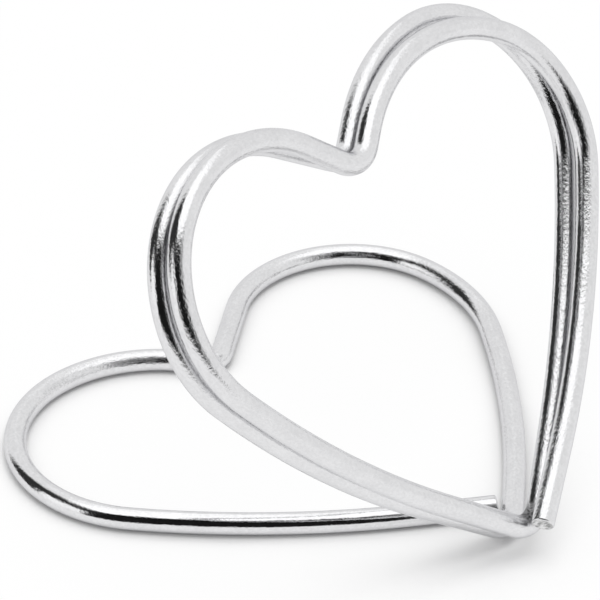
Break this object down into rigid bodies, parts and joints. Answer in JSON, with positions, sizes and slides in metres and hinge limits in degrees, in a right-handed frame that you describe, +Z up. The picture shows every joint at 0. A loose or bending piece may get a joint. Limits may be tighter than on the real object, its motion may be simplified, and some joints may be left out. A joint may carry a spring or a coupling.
{
  "type": "place card holder",
  "caption": "Bright wire place card holder: a flat heart lies on the table and a close-coiled heart leans up from its point and grips a card between its turns.",
  "frame": {"origin": "on the table, under the point where the centre lines of the base heart's two legs would meet", "axes": "+Z up from the table, +X to the right and +Y to the back for someone who faces the standing heart"},
  "size_m": [0.0554, 0.0509, 0.0395],
  "materials": {
    "base_wire": "polished bright wire with faint drawing lines",
    "rear_wire": "polished bright wire with faint drawing lines",
    "front_wire": "polished bright wire with faint drawing lines"
  },
  "bodies": {
    "stand": {"base_heart": "base_wire", "rear_turn": "rear_wire"},
    "clip": {"front_turn": "front_wire"}
  },
  "joints": [
    {"name": "clip_spread", "type": "hinge", "parent": "stand", "child": "clip", "pos_m": [-0.00001, -0.00186, 0.00345], "axis": [0.9994, 0.0347, -0.0043], "range_deg": [0, 5], "stiffness_Nm_per_rad": 2}
  ]
}
